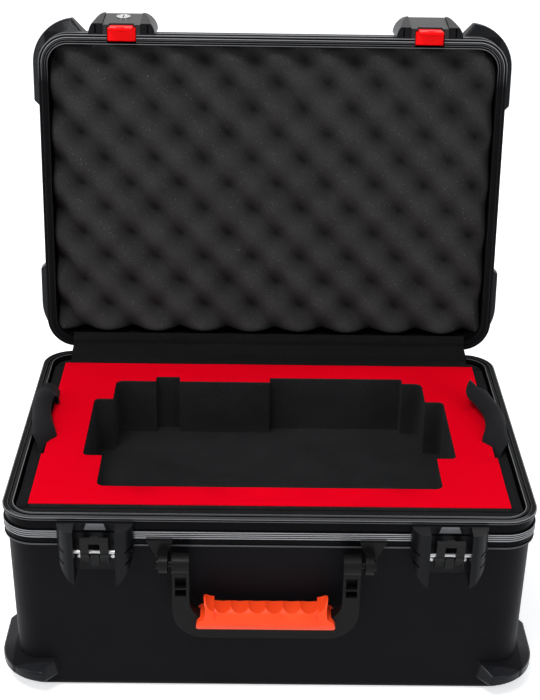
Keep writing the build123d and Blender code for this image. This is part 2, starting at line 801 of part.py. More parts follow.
def write_hinge():
    write("base_hinge_leaf", hinge_leaf(1, base_height - leaf_height, hinge_z - knuckle_radius - 0.6))
    lid_low = lid_rim + 0.2
    write("lid_hinge_leaf", opened(hinge_leaf(0, lid_low, lid_low + leaf_height)))
    write("hinge_pin", rod_x(hinge_pin_radius, -hinge_length / 2, hinge_length / 2, hinge_y, hinge_z))
    write("base_hinge_rivets", hinge_rivets(base_height - leaf_height + 4.5))
    write("lid_hinge_rivets", opened(hinge_rivets(lid_low + leaf_height - 5.0)))


def write_foam():
    write("floor_foam", floor_foam())
    ring = lining_ring()
    for side in ("front", "back", "left", "right"):
        write(f"{side}_lining_foam", lining_part(ring, side))
    write("support_foam", support_foam())
    sheet_low = tray_top - tray_sheet_thickness
    write("tray_foam", tray_block(tray_floor, sheet_low, sheet_low - recess_depth))
    write("tray_top_sheet", tray_block(sheet_low, tray_top, sheet_low - 1))
    write("left_pull_strap", strap(-1))
    write("right_pull_strap", strap(1))
    write("lid_foam", opened(lid_foam()))
    write("hinge_cover", hinge_cover())


def write_latches():
    for name, x in zip(("left", "right"), latch_places):
        at = Pos(x, 0, 0)
        write(f"{name}_base_latch_housing", at * base_latch_housing())
        write(f"{name}_strike_tab", at * strike_tab())
        write(f"{name}_claw_axle", at * rod_x(axle_radius, -latch_half + 5, latch_half - 5, axle_y, axle_z))
        write(f"{name}_claw", at * claw_let_go(claw()))
        write(f"{name}_claw_roller", at * claw_let_go(claw_roller()))
        write(f"{name}_base_latch_rivets", at * base_latch_rivets())
        write(f"{name}_lid_latch_housing", opened(at * lid_latch_housing()))
        cover = lid_latch_plate()
        if name == "left":
            cover -= lock_disc(lock_radius + slip, -9, 3)
        write(f"{name}_lid_latch_plate", opened(at * cover))
        write(f"{name}_trigger", opened(at * trigger()))
    at = Pos(latch_places[0], 0, 0)
    write("lock_cylinder", opened(at * lock_cylinder()))
    write("lock_ring", opened(at * lock_ring()))


def write_handle():
    at = Pos(handle_shift, 0, 0)
    bracket = handle_bracket()
    pin = handle_pin()
    write("left_handle_bracket", at * bracket)
    write("right_handle_bracket", at * mirror(bracket, Plane.YZ))
    write("left_handle_pin", at * pin)
    write("right_handle_pin", at * mirror(pin, Plane.YZ))
    bail = handle_bail()
    write("handle_bail", at * bail)
    write("handle_grip", at * handle_grip(bail))


write_shells()
write_hinge()
write_foam()
write_latches()
write_handle()
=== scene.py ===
"""Looks of the moulded pedal case, lid open. Metres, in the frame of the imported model."""

from math import cos, pi, radians, sin

import bmesh
import bpy
import numpy as np
from mathutils import Matrix, Vector, noise


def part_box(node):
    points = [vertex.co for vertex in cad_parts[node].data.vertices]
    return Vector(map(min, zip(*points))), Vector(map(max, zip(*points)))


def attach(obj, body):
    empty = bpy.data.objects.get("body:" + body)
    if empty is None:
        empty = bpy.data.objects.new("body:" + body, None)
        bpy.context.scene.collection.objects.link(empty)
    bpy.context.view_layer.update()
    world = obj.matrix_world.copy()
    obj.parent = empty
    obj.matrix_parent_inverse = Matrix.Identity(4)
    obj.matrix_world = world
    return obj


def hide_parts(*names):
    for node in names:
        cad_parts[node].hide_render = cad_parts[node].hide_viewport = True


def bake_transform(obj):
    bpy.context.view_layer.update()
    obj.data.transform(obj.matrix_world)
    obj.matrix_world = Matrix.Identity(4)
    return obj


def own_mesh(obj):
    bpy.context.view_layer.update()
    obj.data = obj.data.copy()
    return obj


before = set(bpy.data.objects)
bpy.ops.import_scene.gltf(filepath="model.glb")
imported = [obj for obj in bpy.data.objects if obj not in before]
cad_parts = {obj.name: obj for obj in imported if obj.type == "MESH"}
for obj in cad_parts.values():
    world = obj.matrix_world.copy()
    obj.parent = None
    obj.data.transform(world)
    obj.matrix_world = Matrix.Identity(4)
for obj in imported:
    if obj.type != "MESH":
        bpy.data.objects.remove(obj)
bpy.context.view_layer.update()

# ---- the case's main sizes, as the solids have them
HALF_WIDTH = 0.220
HALF_DEPTH = 0.1535
BASE_RIM = 0.1735
LID_LEAN = radians(6.28)
HINGE_GAP = 0.0105
RIM_GAP = 0.0003
RIM_CORNER = 0.028
WALL_INSET = 0.0028  # shell walls, in from the rim's outer face
TRAY_TOP = 0.1717
LEAN_SIN, LEAN_COS = sin(LID_LEAN), cos(LID_LEAN)


def lid_point(x, t, n):
    """A point on the open lid: t up its rim plane from the hinge edge, n out of its mouth."""
    return Vector((x, HALF_DEPTH + HINGE_GAP + t * LEAN_SIN - n * LEAN_COS,
                   BASE_RIM + RIM_GAP + t * LEAN_COS + n * LEAN_SIN))


# ---- camera
def make_camera():
    pitch, yaw, roll = radians(26.0382), radians(0.6182), radians(0.9168)
    forward = Vector((sin(yaw) * cos(pitch), cos(yaw) * cos(pitch), -sin(pitch)))
    right = Vector((cos(yaw), -sin(yaw), 0))
    up = right.cross(forward)
    side = right * cos(roll) + up * sin(roll)
    top = up * cos(roll) - right * sin(roll)
    data = bpy.data.cameras.new("camera")
    data.sensor_width = 36
    data.lens = 1470.04 / 700 * 36
    data.clip_end = 20
    camera = bpy.data.objects.new("camera", data)
    bpy.context.scene.collection.objects.link(camera)
    turn = Matrix((side, top, -forward)).transposed()
    camera.matrix_world = Matrix.Translation((-0.013202, -1.158460, 0.817449)) @ turn.to_4x4()
    bpy.context.scene.camera = camera


# ---- node helpers
class Nodes:
    """A material's node tree with short calls to add to it."""

    def __init__(self, name):
        self.material = bpy.data.materials.new(name)
        self.material.use_nodes = True
        self.tree = self.material.node_tree
        self.shader = self.tree.nodes["Principled BSDF"]
        self.coords = self.add("ShaderNodeTexCoord").outputs["Object"]

    def add(self, kind, inputs=(), **settings):
        node = self.tree.nodes.new(kind)
        for key, value in settings.items():
            setattr(node, key, value)
        for key, value in dict(inputs).items():
            if isinstance(value, bpy.types.NodeSocket):
                self.tree.links.new(value, node.inputs[key])
            else:
                node.inputs[key].default_value = value
        return node

    def math(self, operation, a, b=0.0, clamp=False):
        node = self.add("ShaderNodeMath", {0: a, 1: b}, operation=operation, use_clamp=clamp)
        return node.outputs[0]

    def noise(self, scale, detail=3.0, rough=0.55, stretch=(1, 1, 1), distort=0.0):
        at = self.add("ShaderNodeMapping", {"Vector": self.coords, "Scale": stretch}).outputs[0]
        inputs = {"Vector": at, "Scale": scale, "Detail": detail, "Roughness": rough, "Distortion": distort}
        return self.add("ShaderNodeTexNoise", inputs).outputs[0]

    def cells(self, scale, feature="F1"):
        node = self.add("ShaderNodeTexVoronoi", {"Vector": self.coords, "Scale": scale}, feature=feature)
        return node.outputs["Distance"]

    def ramp(self, value, low, high, a=0.0, b=1.0):
        inputs = {"Value": value, "From Min": low, "From Max": high, "To Min": a, "To Max": b}
        return self.add("ShaderNodeMapRange", inputs, clamp=True).outputs[0]

    def mix(self, share, a, b):
        node = self.add("ShaderNodeMix", {"Factor": share}, data_type="RGBA")
        for socket, value in (("A", a), ("B", b)):
            inputs = [s for s in node.inputs if s.name == socket and s.type == "RGBA"]
            if isinstance(value, bpy.types.NodeSocket):
                self.tree.links.new(value, inputs[0])
            else:
                inputs[0].default_value = (*value, 1)
        return [s for s in node.outputs if s.type == "RGBA"][0]

    def along(self, direction, offset=0.0):
        """How far a point lies along a direction, in metres."""
        dot = self.add("ShaderNodeVectorMath", {0: self.coords, 1: direction}, operation="DOT_PRODUCT")
        return self.math("ADD", dot.outputs["Value"], -offset)

    def bump(self, height, strength, distance, after=None):
        inputs = {"Height": height, "Strength": strength, "Distance": distance}
        if after is not None:
            inputs["Normal"] = after
        return self.add("ShaderNodeBump", inputs).outputs[0]

    def set(self, **sockets):
        names = {"color": "Base Color", "rough": "Roughness", "metal": "Metallic", "normal": "Normal",
                 "sheen": "Sheen Weight", "sheen_rough": "Sheen Roughness", "specular": "Specular IOR Level"}
        for key, value in sockets.items():
            socket = self.shader.inputs[names[key]]
            if isinstance(value, bpy.types.NodeSocket):
                self.tree.links.new(value, socket)
            else:
                socket.default_value = (*value, 1) if key == "color" else value
        return self.material


# ---- materials
def depth_from_rim(n, lid):
    """How far below the rim plane a point lies, towards the closed face."""
    if lid:
        origin = lid_point(0, 0, 0)
        direction = Vector((0, LEAN_COS, -LEAN_SIN))
        return n.along(direction, origin.dot(direction))
    return n.math("MULTIPLY", n.along((0, 0, 1), BASE_RIM), -1.0)


def moulded_shell(lid):
    """Grained black moulding, glossier and a little bluer on the corner bumpers."""
    n = Nodes("lid_moulding" if lid else "base_moulding")
    across = n.math("ABSOLUTE", n.along((1, 0, 0)))
    if lid:
        along = lid_point(0, HALF_DEPTH, 0)
        up = Vector((0, LEAN_SIN, LEAN_COS))
        deep = n.math("ABSOLUTE", n.along(up, along.dot(up)))
    else:
        deep = n.math("ABSOLUTE", n.along((0, 1, 0)))
    beyond = n.math("MAXIMUM", n.math("SUBTRACT", across, HALF_WIDTH - WALL_INSET),
                    n.math("SUBTRACT", deep, HALF_DEPTH - WALL_INSET))
    bumper = n.ramp(beyond, 0.0, 0.0015)
    grain = n.cells(950, "SMOOTH_F1")
    fine = n.noise(1500, 2.0)
    mottle = n.noise(14, 4.0)
    wear = n.noise(90, 5.0, 0.7)
    height = n.math("ADD", n.math("MULTIPLY", grain, 0.7), n.math("MULTIPLY", fine, 0.5))
    body = n.mix(mottle, (0.0020, 0.0019, 0.0026), (0.0046, 0.0044, 0.0058))
    blue = n.mix(mottle, (0.0024, 0.0026, 0.0042), (0.0052, 0.0056, 0.0082))
    rough = n.math("ADD", n.ramp(bumper, 0, 1, 0.40, 0.20), n.math("MULTIPLY", wear, 0.12))
    share = n.ramp(bumper, 0, 1, 0.95, 0.40)
    bump = n.bump(height, share, 0.0003)
    bump = n.bump(n.noise(30, 3.0), 0.10, 0.0012, bump)
    gloss = n.ramp(bumper, 0, 1, 0.055, 0.13)
    return n.set(color=n.mix(bumper, body, blue), rough=rough, normal=bump, specular=gloss)


def rim_metal(lid):
    """Black anodised extrusion with drawn lines along it; its edges, grooves and rib crests carry painted
    highlights, light lines that stand in for the light they catch.
    """
    n = Nodes("lid_rim_metal" if lid else "base_rim_metal")
    depth = depth_from_rim(n, lid)
    if lid:
        up = Vector((0, LEAN_SIN, LEAN_COS))
        height = n.along(up, lid_point(0, 0, 0).dot(up))
        deep = n.math("ABSOLUTE", n.math("SUBTRACT", height, HALF_DEPTH))
    else:
        deep = n.math("ABSOLUTE", n.along((0, 1, 0)))
    qx = n.math("SUBTRACT", n.math("ABSOLUTE", n.along((1, 0, 0))), HALF_WIDTH - RIM_CORNER)
    qy = n.math("SUBTRACT", deep, HALF_DEPTH - RIM_CORNER)
    square = [n.math("POWER", n.math("MAXIMUM", q, 0.0), 2.0) for q in (qx, qy)]
    inner = n.math("MINIMUM", n.math("MAXIMUM", qx, qy), 0.0)
    out = n.math("ADD", n.math("SQRT", n.math("ADD", *square)), inner)
    inset = n.math("SUBTRACT", RIM_CORNER, out)

    def band(value, low, high, share=1.0):
        rise = n.ramp(value, low - 0.0001, low + 0.0001, 0.0, share)
        return n.math("MULTIPLY", rise, n.ramp(value, high + 0.0001, high - 0.0001))

    def most(*values):
        top = values[0]
        for value in values[1:]:
            top = n.math("MAXIMUM", top, value)
        return top

    # Painted highlights: masks for light lines on the rim's outer edge, grooves, rib crests and lower step,
    # standing in for light caught on them.
    outside = n.ramp(inset, 0.0004, 0.0002)
    face = n.ramp(depth, 0.0004, 0.0002)
    edges = most(band(inset, -1, 0.0008, 0.75 if lid else 0.6),
                 band(inset, 0.0026, 0.0034, 0.9 if lid else 0.0),
                 band(inset, 0.0042, 0.0048, 0.3), band(inset, 0.0061, 0.0067, 0.55 if lid else 0.3),
                 band(inset, 0.0082, 1, 0.5))
    ribs = n.math("MULTIPLY", band(depth, 0.0119, 0.0187, 0.9), outside)
    lower = n.math("MULTIPLY", band(depth, 0.0016, 0.0023, 0.35), outside)
    painted_highlight = most(n.math("MULTIPLY", face, edges), ribs, lower, band(depth, 0.0245, 0.0261, 0.28))
    # On the lid the painted highlights fade to almost nothing on its sides and hinge end and are strongest
    # along its far edge.
    if lid:
        painted_highlight = n.math("MULTIPLY", painted_highlight, n.ramp(height, 0.262, 0.296, 0.04, 1.0))
    else:
        # Painted highlight: a faint light band on the front stretch of the base rim's top face.
        front = n.ramp(n.along((0, 1, 0)), -0.1400, -0.1455, 0.0, 0.20)
        painted_highlight = most(painted_highlight, n.math("MULTIPLY", front, face))
    lines = n.noise(260, 2.0, 0.6, (0.03, 0.03, 6) if not lid else (0.03, 4, 0.03))
    blotch = n.noise(22, 3.0)
    dark = n.mix(blotch, (0.0015, 0.0015, 0.0018), (0.0034, 0.0034, 0.0040))
    # The painted highlights' colour, streaked along the drawn lines.
    highlight_color = n.mix(lines, (0.20, 0.20, 0.21), (0.34, 0.34, 0.35))
    rough = n.math("ADD", n.math("MULTIPLY", lines, 0.16), 0.24)
    return n.set(color=n.mix(painted_highlight, dark, highlight_color), rough=rough, metal=n.math("MULTIPLY", painted_highlight, 0.7),
                 normal=n.bump(lines, 0.18, 0.0001), specular=0.035)


def satin_plastic(name, low, high, rough, grain=0.12, specular=0.09):
    n = Nodes(name)
    speck = n.noise(900, 3.0)
    patch = n.noise(35, 3.0)
    spread = n.math("ADD", n.math("MULTIPLY", n.noise(160, 4.0, 0.7), 0.16), rough - 0.08)
    return n.set(color=n.mix(patch, low, high), rough=spread, normal=n.bump(speck, grain, 0.0001),
                 specular=specular)


def painted_steel(name):
    n = Nodes(name)
    peel = n.noise(420, 3.0)
    patch = n.noise(30, 2.0)
    rough = n.math("ADD", n.math("MULTIPLY", patch, 0.15), 0.28)
    color = n.mix(patch, (0.0045, 0.0045, 0.0050), (0.0090, 0.0090, 0.0095))
    return n.set(color=color, rough=rough, metal=0.2,
                 normal=n.bump(peel, 0.10, 0.0001), specular=0.10)


def bright_metal(name, tone, rough):
    n = Nodes(name)
    lines = n.noise(700, 2.0, 0.5, (6, 0.3, 1))
    dull = n.noise(60, 4.0)
    spread = n.math("ADD", n.math("MULTIPLY", dull, 0.16), rough)
    low = tuple(c * 0.82 for c in tone)
    return n.set(color=n.mix(dull, low, tone), rough=spread, metal=1.0, normal=n.bump(lines, 0.06, 0.0001))


def open_cell_foam(name, low, high, strength=0.8, glow=0.45, crate=False):
    """Dull foam, pitted by its cells, a few of them catching the light as painted glints; crate foam has
    painted shade in its pits.
    """
    n = Nodes(name)
    pores = n.cells(1100)
    coarse = n.noise(620, 4.0, 0.7)
    patch = n.noise(26, 4.0)
    # Painted glints: a few speckles of the foam turned lighter.
    glint = n.ramp(n.noise(900, 2.0, 0.6), 0.67, 0.76)
    height = n.math("ADD", n.math("MULTIPLY", pores, 0.8), n.math("MULTIPLY", coarse, 0.8))
    body = n.mix(n.math("MULTIPLY", patch, n.ramp(coarse, 0.3, 0.7, 0.6, 1.3)), low, high)
    color = n.mix(n.math("MULTIPLY", glint, glow), body, tuple(min(1, c * 6 + 0.02) for c in high))
    if crate:
        # Painted shade: the crate foam's colour darkens towards the bottoms of its pits.
        out = Vector((0, -LEAN_COS, LEAN_SIN))
        depth = n.along(tuple(out), lid_point(0, 0, 0).dot(out))
        color = n.mix(n.ramp(depth, -0.0235, -0.0090, 0.55, 0.0), color, tuple(c * 0.25 for c in low))
    return n.set(color=color, rough=1.0, specular=0.04, normal=n.bump(height, strength, 0.0007), sheen=0.02,
                 sheen_rough=0.6)


def red_felt():
    """Red nap on top, the sheet's cut sides dark grey."""
    n = Nodes("red_felt")
    fibre = n.noise(1500, 4.0, 0.75, distort=1.2)
    pill = n.noise(240, 4.0, 0.7)
    patch = n.noise(9, 3.0)
    cut = n.ramp(n.along((0, 0, 1), TRAY_TOP - 0.0007), -0.0002, 0.0001)
    body = n.mix(patch, (0.640, 0.0004, 0.0080), (0.760, 0.0006, 0.0110))
    color = n.mix(n.ramp(fibre, 0.35, 0.75, 0.0, 0.22), body, (0.880, 0.0030, 0.0180))
    color = n.mix(cut, n.mix(pill, (0.012, 0.008, 0.009), (0.060, 0.050, 0.053)), color)
    height = n.math("ADD", fibre, n.math("MULTIPLY", pill, 0.6))
    return n.set(color=color, rough=1.0, specular=0.0, normal=n.bump(height, 0.35, 0.0004))


def plush():
    n = Nodes("black_plush")
    pile = n.noise(820, 5.0, 0.8, distort=0.8)
    clump = n.noise(150, 4.0, 0.7)
    streak = n.noise(60, 3.0, 0.6, (0.12, 1, 1))
    share = n.math("ADD", n.math("MULTIPLY", clump, 0.6), n.math("MULTIPLY", streak, 0.5))
    color = n.mix(share, (0.0016, 0.0016, 0.0018), (0.0130, 0.0122, 0.0122))
    height = n.math("ADD", pile, clump)
    return n.set(color=color, rough=1.0, specular=0.02, normal=n.bump(height, 0.9, 0.0011), sheen=0.01,
                 sheen_rough=0.5)


def webbing():
    """Woven tape: ribs across it from the UVs, one per weft pair."""
    n = Nodes("ribbed_webbing")
    uv = n.add("ShaderNodeUVMap", uv_map="UVMap").outputs[0]
    parts = n.add("ShaderNodeSeparateXYZ", {0: uv})
    weft = n.math("SINE", n.math("MULTIPLY", parts.outputs[1], 2 * pi / 0.0011))
    warp = n.math("SINE", n.math("MULTIPLY", parts.outputs[0], 2 * pi / 0.0016))
    height = n.math("ADD", n.math("MULTIPLY", weft, 0.6), n.math("MULTIPLY", warp, 0.5))
    fuzz = n.noise(1400, 3.0)
    share = n.math("ADD", n.ramp(height, -1, 1, 0.15, 0.75), n.math("MULTIPLY", fuzz, 0.25))
    color = n.mix(share, (0.0024, 0.0024, 0.0028), (0.0170, 0.0170, 0.0190))
    return n.set(color=color, rough=0.75, specular=0.06, normal=n.bump(height, 0.45, 0.00025), sheen=0.02,
                 sheen_rough=0.4)


def soft_grip():
    n = Nodes("orange_grip")
    speck = n.noise(1100, 2.0)
    patch = n.noise(45, 3.0)
    rough = n.math("ADD", n.math("MULTIPLY", patch, 0.14), 0.30)
    color = n.mix(patch, (0.92, 0.050, 0.010), (1.0, 0.085, 0.018))
    return n.set(color=color, rough=rough, normal=n.bump(speck, 0.10, 0.0001), specular=0.18)


def red_button():
    n = Nodes("red_button")
    speck = n.noise(900, 2.0)
    patch = n.noise(60, 3.0)
    rough = n.math("ADD", n.math("MULTIPLY", patch, 0.10), 0.28)
    return n.set(color=n.mix(patch, (0.92, 0.0025, 0.0035), (1.0, 0.0050, 0.0060)), rough=rough,
                 normal=n.bump(speck, 0.06, 0.0001), specular=0.08)


def make_materials():
    return {
        "base_shell": moulded_shell(False),
        "lid_shell": moulded_shell(True),
        "base_rim": rim_metal(False),
        "lid_rim": rim_metal(True),
        "hinge": painted_steel("black_hinge"),
        "pin": bright_metal("pin_steel", (0.50, 0.50, 0.51), 0.25),
        "chrome": bright_metal("chrome", (0.78, 0.78, 0.80), 0.08),
        "latch": satin_plastic("latch_plastic", (0.0030, 0.0031, 0.0038), (0.0065, 0.0067, 0.0080), 0.34,
                               0.10),
        "plate": satin_plastic("plate_plastic", (0.0110, 0.0110, 0.0120), (0.0190, 0.0190, 0.0200), 0.40,
                               0.14, 0.22),
        "claw": painted_steel("claw_steel"),
        "tab": satin_plastic("grey_tab", (0.115, 0.115, 0.120), (0.150, 0.150, 0.157), 0.5),
        "handle": satin_plastic("handle_plastic", (0.0035, 0.0034, 0.0036), (0.0075, 0.0073, 0.0078), 0.36,
                                0.16),
        "grip": soft_grip(),
        "button": red_button(),
        "foam": open_cell_foam("charcoal_foam", (0.0060, 0.0060, 0.0065), (0.0210, 0.0210, 0.0220)),
        "crate": open_cell_foam("crate_foam", (0.0205, 0.0199, 0.0201), (0.0430, 0.0418, 0.0422), 0.8, 0.8,
                                True),
        "lining": open_cell_foam("lining_foam", (0.0035, 0.0035, 0.0040), (0.0120, 0.0120, 0.0130), 0.9),
        "red": red_felt(),
        "plush": plush(),
        "webbing": webbing(),
    }


def paint(nodes, materials):
    """Gives every carried-over CAD node its material."""
    chosen = {"base_shell": "base_shell", "lid_shell": "lid_shell", "base_rim": "base_rim",
              "lid_rim": "lid_rim", "base_hinge_leaf": "hinge", "lid_hinge_leaf": "hinge", "hinge_pin": "pin",
              "base_hinge_rivets": "pin", "lid_hinge_rivets": "pin", "handle_bail": "handle",
              "handle_grip": "grip", "lock_cylinder": "chrome", "lock_ring": "chrome"}
    ends = {"base_latch_housing": "latch", "lid_latch_housing": "latch", "lid_latch_plate": "plate",
            "strike_tab": "tab", "claw_axle": "pin", "claw_roller": "claw", "claw": "claw",
            "base_latch_rivets": "pin", "trigger": "button", "handle_bracket": "handle",
            "handle_pin": "handle"}
    for side in ("left", "right"):
        for end, key in ends.items():
            chosen[f"{side}_{end}"] = key
    for name, key in chosen.items():
        data = nodes[name].data
        data.materials.clear()
        data.materials.append(materials[key])


# ---- mesh helpers
def new_object(name, vertices, faces, material, smooth=True):
    mesh = bpy.data.meshes.new(name)
    mesh.from_pydata([tuple(v) for v in vertices], [], faces)
    mesh.validate()
    mesh.update()
    mesh.materials.append(material)
    made = bpy.data.objects.new(name, mesh)
    bpy.context.scene.collection.objects.link(made)
    if smooth:
        mesh.shade_smooth()
    return made


def outward_normals(made):
    work = bmesh.new()
    work.from_mesh(made.data)
    bmesh.ops.recalc_face_normals(work, faces=work.faces)
    work.to_mesh(made.data)
    work.free()


def apply_modifiers(made):
    graph = bpy.context.evaluated_depsgraph_get()
    graph.update()
    mesh = bpy.data.meshes.new_from_object(made.evaluated_get(graph))
    old = made.data
    made.modifiers.clear()
    made.data = mesh
    bpy.data.meshes.remove(old)
    return made


def soft_copy(node, name, material, bevel=0.0012, ripple=0.0003, wave=60.0, step=0.02):
    """A soft twin of a CAD node: rounded edges and a hand-cut surface that isn't quite flat."""
    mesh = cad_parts[node].data.copy()
    mesh.materials.clear()
    mesh.materials.append(material)
    made = bpy.data.objects.new(name, mesh)
    bpy.context.scene.collection.objects.link(made)
    work = bmesh.new()
    work.from_mesh(mesh)
    bmesh.ops.remove_doubles(work, verts=work.verts, dist=1e-5)
    bmesh.ops.dissolve_limit(work, angle_limit=radians(1), verts=work.verts, edges=work.edges)
    work.to_mesh(mesh)
    work.free()
    rounding = made.modifiers.new("round", "BEVEL")
    rounding.width = bevel
    rounding.segments = 3
    rounding.limit_method = "ANGLE"
    rounding.angle_limit = radians(35)
    apply_modifiers(made)
    low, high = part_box(node)
    work = bmesh.new()
    work.from_mesh(made.data)
    for axis in range(3):
        normal = [float(axis == k) for k in range(3)]
        for i in range(1, int((high[axis] - low[axis]) / step) + 1):
            at = [low[k] + (i - 0.5) * step * normal[k] for k in range(3)]
            geometry = work.verts[:] + work.edges[:] + work.faces[:]
            bmesh.ops.bisect_plane(work, geom=geometry, plane_co=at, plane_no=normal)
    work.to_mesh(made.data)
    work.free()
    for v in made.data.vertices:
        v.co += v.normal * (ripple * noise.noise(v.co * wave))
    made.data.shade_smooth()
    made.data.set_sharp_from_angle(angle=radians(50))
    return made


def soft_piece(made, body, node):
    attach(made, body)
    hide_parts(node)
    return made


# ---- egg-crate foam in the lid
CRATE_HALF_X = HALF_WIDTH - 0.0094
CRATE_LOW, CRATE_HIGH = 0.0140, 0.2974
CRATE_PITCH_X, CRATE_PITCH_T = 0.0476, 0.04925
CRATE_PEAK = (0.0300, 0.0125)
CRATE_TOP, CRATE_DEPTH, CRATE_BACK = -0.0050, 0.0185, -0.0555
CRATE_CORNER = 0.0190


def crate_depth(x, t):
    """Depth of the convoluted surface below its peaks; its ridges join from upper left to lower right."""
    a, b = 2 * pi * (x - CRATE_PEAK[0]) / CRATE_PITCH_X, 2 * pi * (t - CRATE_PEAK[1]) / CRATE_PITCH_T
    wave = max(-1.0, cos(a) * cos(b) - 0.55 * sin(a) * sin(b))
    rise = (0.5 + 0.5 * wave) ** 0.52
    uneven = noise.noise(Vector((x * 30, t * 30, 1.7))) * 0.0016
    return CRATE_DEPTH * (1 - rise) + uneven + 0.0012


def crate_foam(material):
    """A solid pad whose front is a grid of domes and pits, its outline rounded at the lid's far corners."""
    columns, rows = 176, 120
    vertices, faces = [], []
    for j in range(rows + 1):
        t = CRATE_LOW + (CRATE_HIGH - CRATE_LOW) * j / rows
        over = max(0.0, t - (CRATE_HIGH - CRATE_CORNER))
        half = CRATE_HALF_X - CRATE_CORNER + max(0.0, CRATE_CORNER ** 2 - over ** 2) ** 0.5
        for i in range(columns + 1):
            x = half * (2 * i / columns - 1)
            edge = min(half - abs(x), t - CRATE_LOW, CRATE_HIGH - t)
            droop = 0.0022 * max(0.0, 1 - edge / 0.006) ** 2
            depth = crate_depth(x, t) + droop
            vertices.append(lid_point(x, t, CRATE_TOP - depth))
    front = len(vertices)
    step = columns + 1
    for j in range(rows):
        for i in range(columns):
            a = j * step + i
            faces.append((a, a + 1, a + step + 1, a + step))
    ring = [i for i in range(columns)] + [j * step + columns for j in range(rows)]
    ring += [rows * step + i for i in range(columns, 0, -1)] + [j * step for j in range(rows, 0, -1)]
    previous = ring
    for depth in (-0.030, -0.046, CRATE_BACK):
        pull = 0.004 if depth == CRATE_BACK else 0.0
        layer = []
        for k in ring:
            p = vertices[k]
            x = p.x
            t = (p.z - BASE_RIM - RIM_GAP) * LEAN_COS + (p.y - HALF_DEPTH - HINGE_GAP) * LEAN_SIN
            middle = (CRATE_LOW + CRATE_HIGH) / 2
            x -= pull * (1 if x > 0 else -1) * (abs(x) > CRATE_HALF_X - 0.02)
            t -= pull * (1 if t > middle else -1) * (abs(t - middle) > middle - CRATE_LOW - 0.02)
            layer.append(len(vertices))
            vertices.append(lid_point(x, t, depth))
        for i in range(len(ring)):
            j = (i + 1) % len(ring)
            faces.append((previous[j], previous[i], layer[i], layer[j]))
        previous = layer
    faces.append(tuple(previous[::-1]))
    made = new_object("lid_crate_foam", vertices, faces, material)
    outward_normals(made)
    soft_piece(made, "lid", "lid_foam")


# ---- foam blocks, tray and red sheet
def base_foams(materials):
    for node in ("floor_foam", "front_lining_foam", "back_lining_foam", "left_lining_foam",
                 "right_lining_foam", "support_foam"):
        made = soft_copy(node, node + "_soft", materials["lining"], 0.0015, 0.0004)
        soft_piece(made, "base", node)


def tray_pieces(materials):
    foam = soft_copy("tray_foam", "tray_foam_soft", materials["foam"], 0.0010, 0.0003)
    soft_piece(foam, "tray", "tray_foam")
    sheet = soft_copy("tray_top_sheet", "tray_top_felt", materials["red"], 0.0006, 0.00025, 25.0)
    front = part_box("tray_top_sheet")[0][1]
    for v in sheet.data.vertices:  # its front edge stands back, so that the foam's edge shows below it
        if v.co.y < front + 0.002:
            v.co.y += 0.0022
    soft_piece(sheet, "tray", "tray_top_sheet")


# ---- ribbons
def catmull(points, samples):
    """Points on a smooth line through the given ones."""
    p = np.array(points, float)
    p = np.vstack([2 * p[0] - p[1], p, 2 * p[-1] - p[-2]])
    out = []
    for i in range(1, len(p) - 2):
        for s in np.linspace(0, 1, samples, endpoint=False):
            a, b, c, d = p[i - 1:i + 3]
            out.append(0.5 * (2 * b + (c - a) * s + (2 * a - 5 * b + 4 * c - d) * s ** 2
                              + (3 * b - a - 3 * c + d) * s ** 3))
    out.append(p[-2])
    return np.array(out)


def ribbon(name, line, across, curl, width, thickness, material, columns=12):
    """A tape of constant width along a line, its width laid on an arc of curl radians round the line."""
    n = len(line)
    tangent = np.gradient(line, axis=0)
    tangent /= np.linalg.norm(tangent, axis=1)[:, None]
    across = across - (across * tangent).sum(1)[:, None] * tangent
    across /= np.linalg.norm(across, axis=1)[:, None]
    normal = np.cross(tangent, across)
    run = np.concatenate([[0], np.cumsum(np.linalg.norm(np.diff(line, axis=0), axis=1))])
    vertices, faces, uvs = [], [], []
    for side in (1, -1):
        for k in range(n):
            for c in range(columns + 1):
                u = c / columns - 0.5
                turn = u * curl[k]
                radius = width / curl[k]
                skin = normal[k] * cos(turn) + across[k] * sin(turn)
                rise = radius * (cos(turn) - cos(curl[k] / 2))
                p = line[k] + across[k] * (radius * sin(turn)) + normal[k] * rise
                vertices.append(p + skin * (side * thickness / 2))
                uvs.append((u * width, run[k]))
    step = columns + 1
    half = n * step
    for k in range(n - 1):
        for c in range(columns):
            a = k * step + c
            faces.append((a, a + 1, a + step + 1, a + step))
            faces.append((half + a, half + a + step, half + a + step + 1, half + a + 1))
        for c in (0, columns):
            a = k * step + c
            faces.append((a, a + step, half + a + step, half + a))
    for k in (0, n - 1):
        for c in range(columns):
            a = k * step + c
            faces.append((a, half + a, half + a + 1, a + 1))
    made = new_object(name, vertices, faces, material)
    layer = made.data.uv_layers.new(name="UVMap")
    for polygon in made.data.polygons:
        for i in polygon.loop_indices:
            layer.data[i].uv = uvs[made.data.loops[i].vertex_index]
    outward_normals(made)
    made.data.set_sharp_from_angle(angle=radians(50))
    return made, float(run[-1])


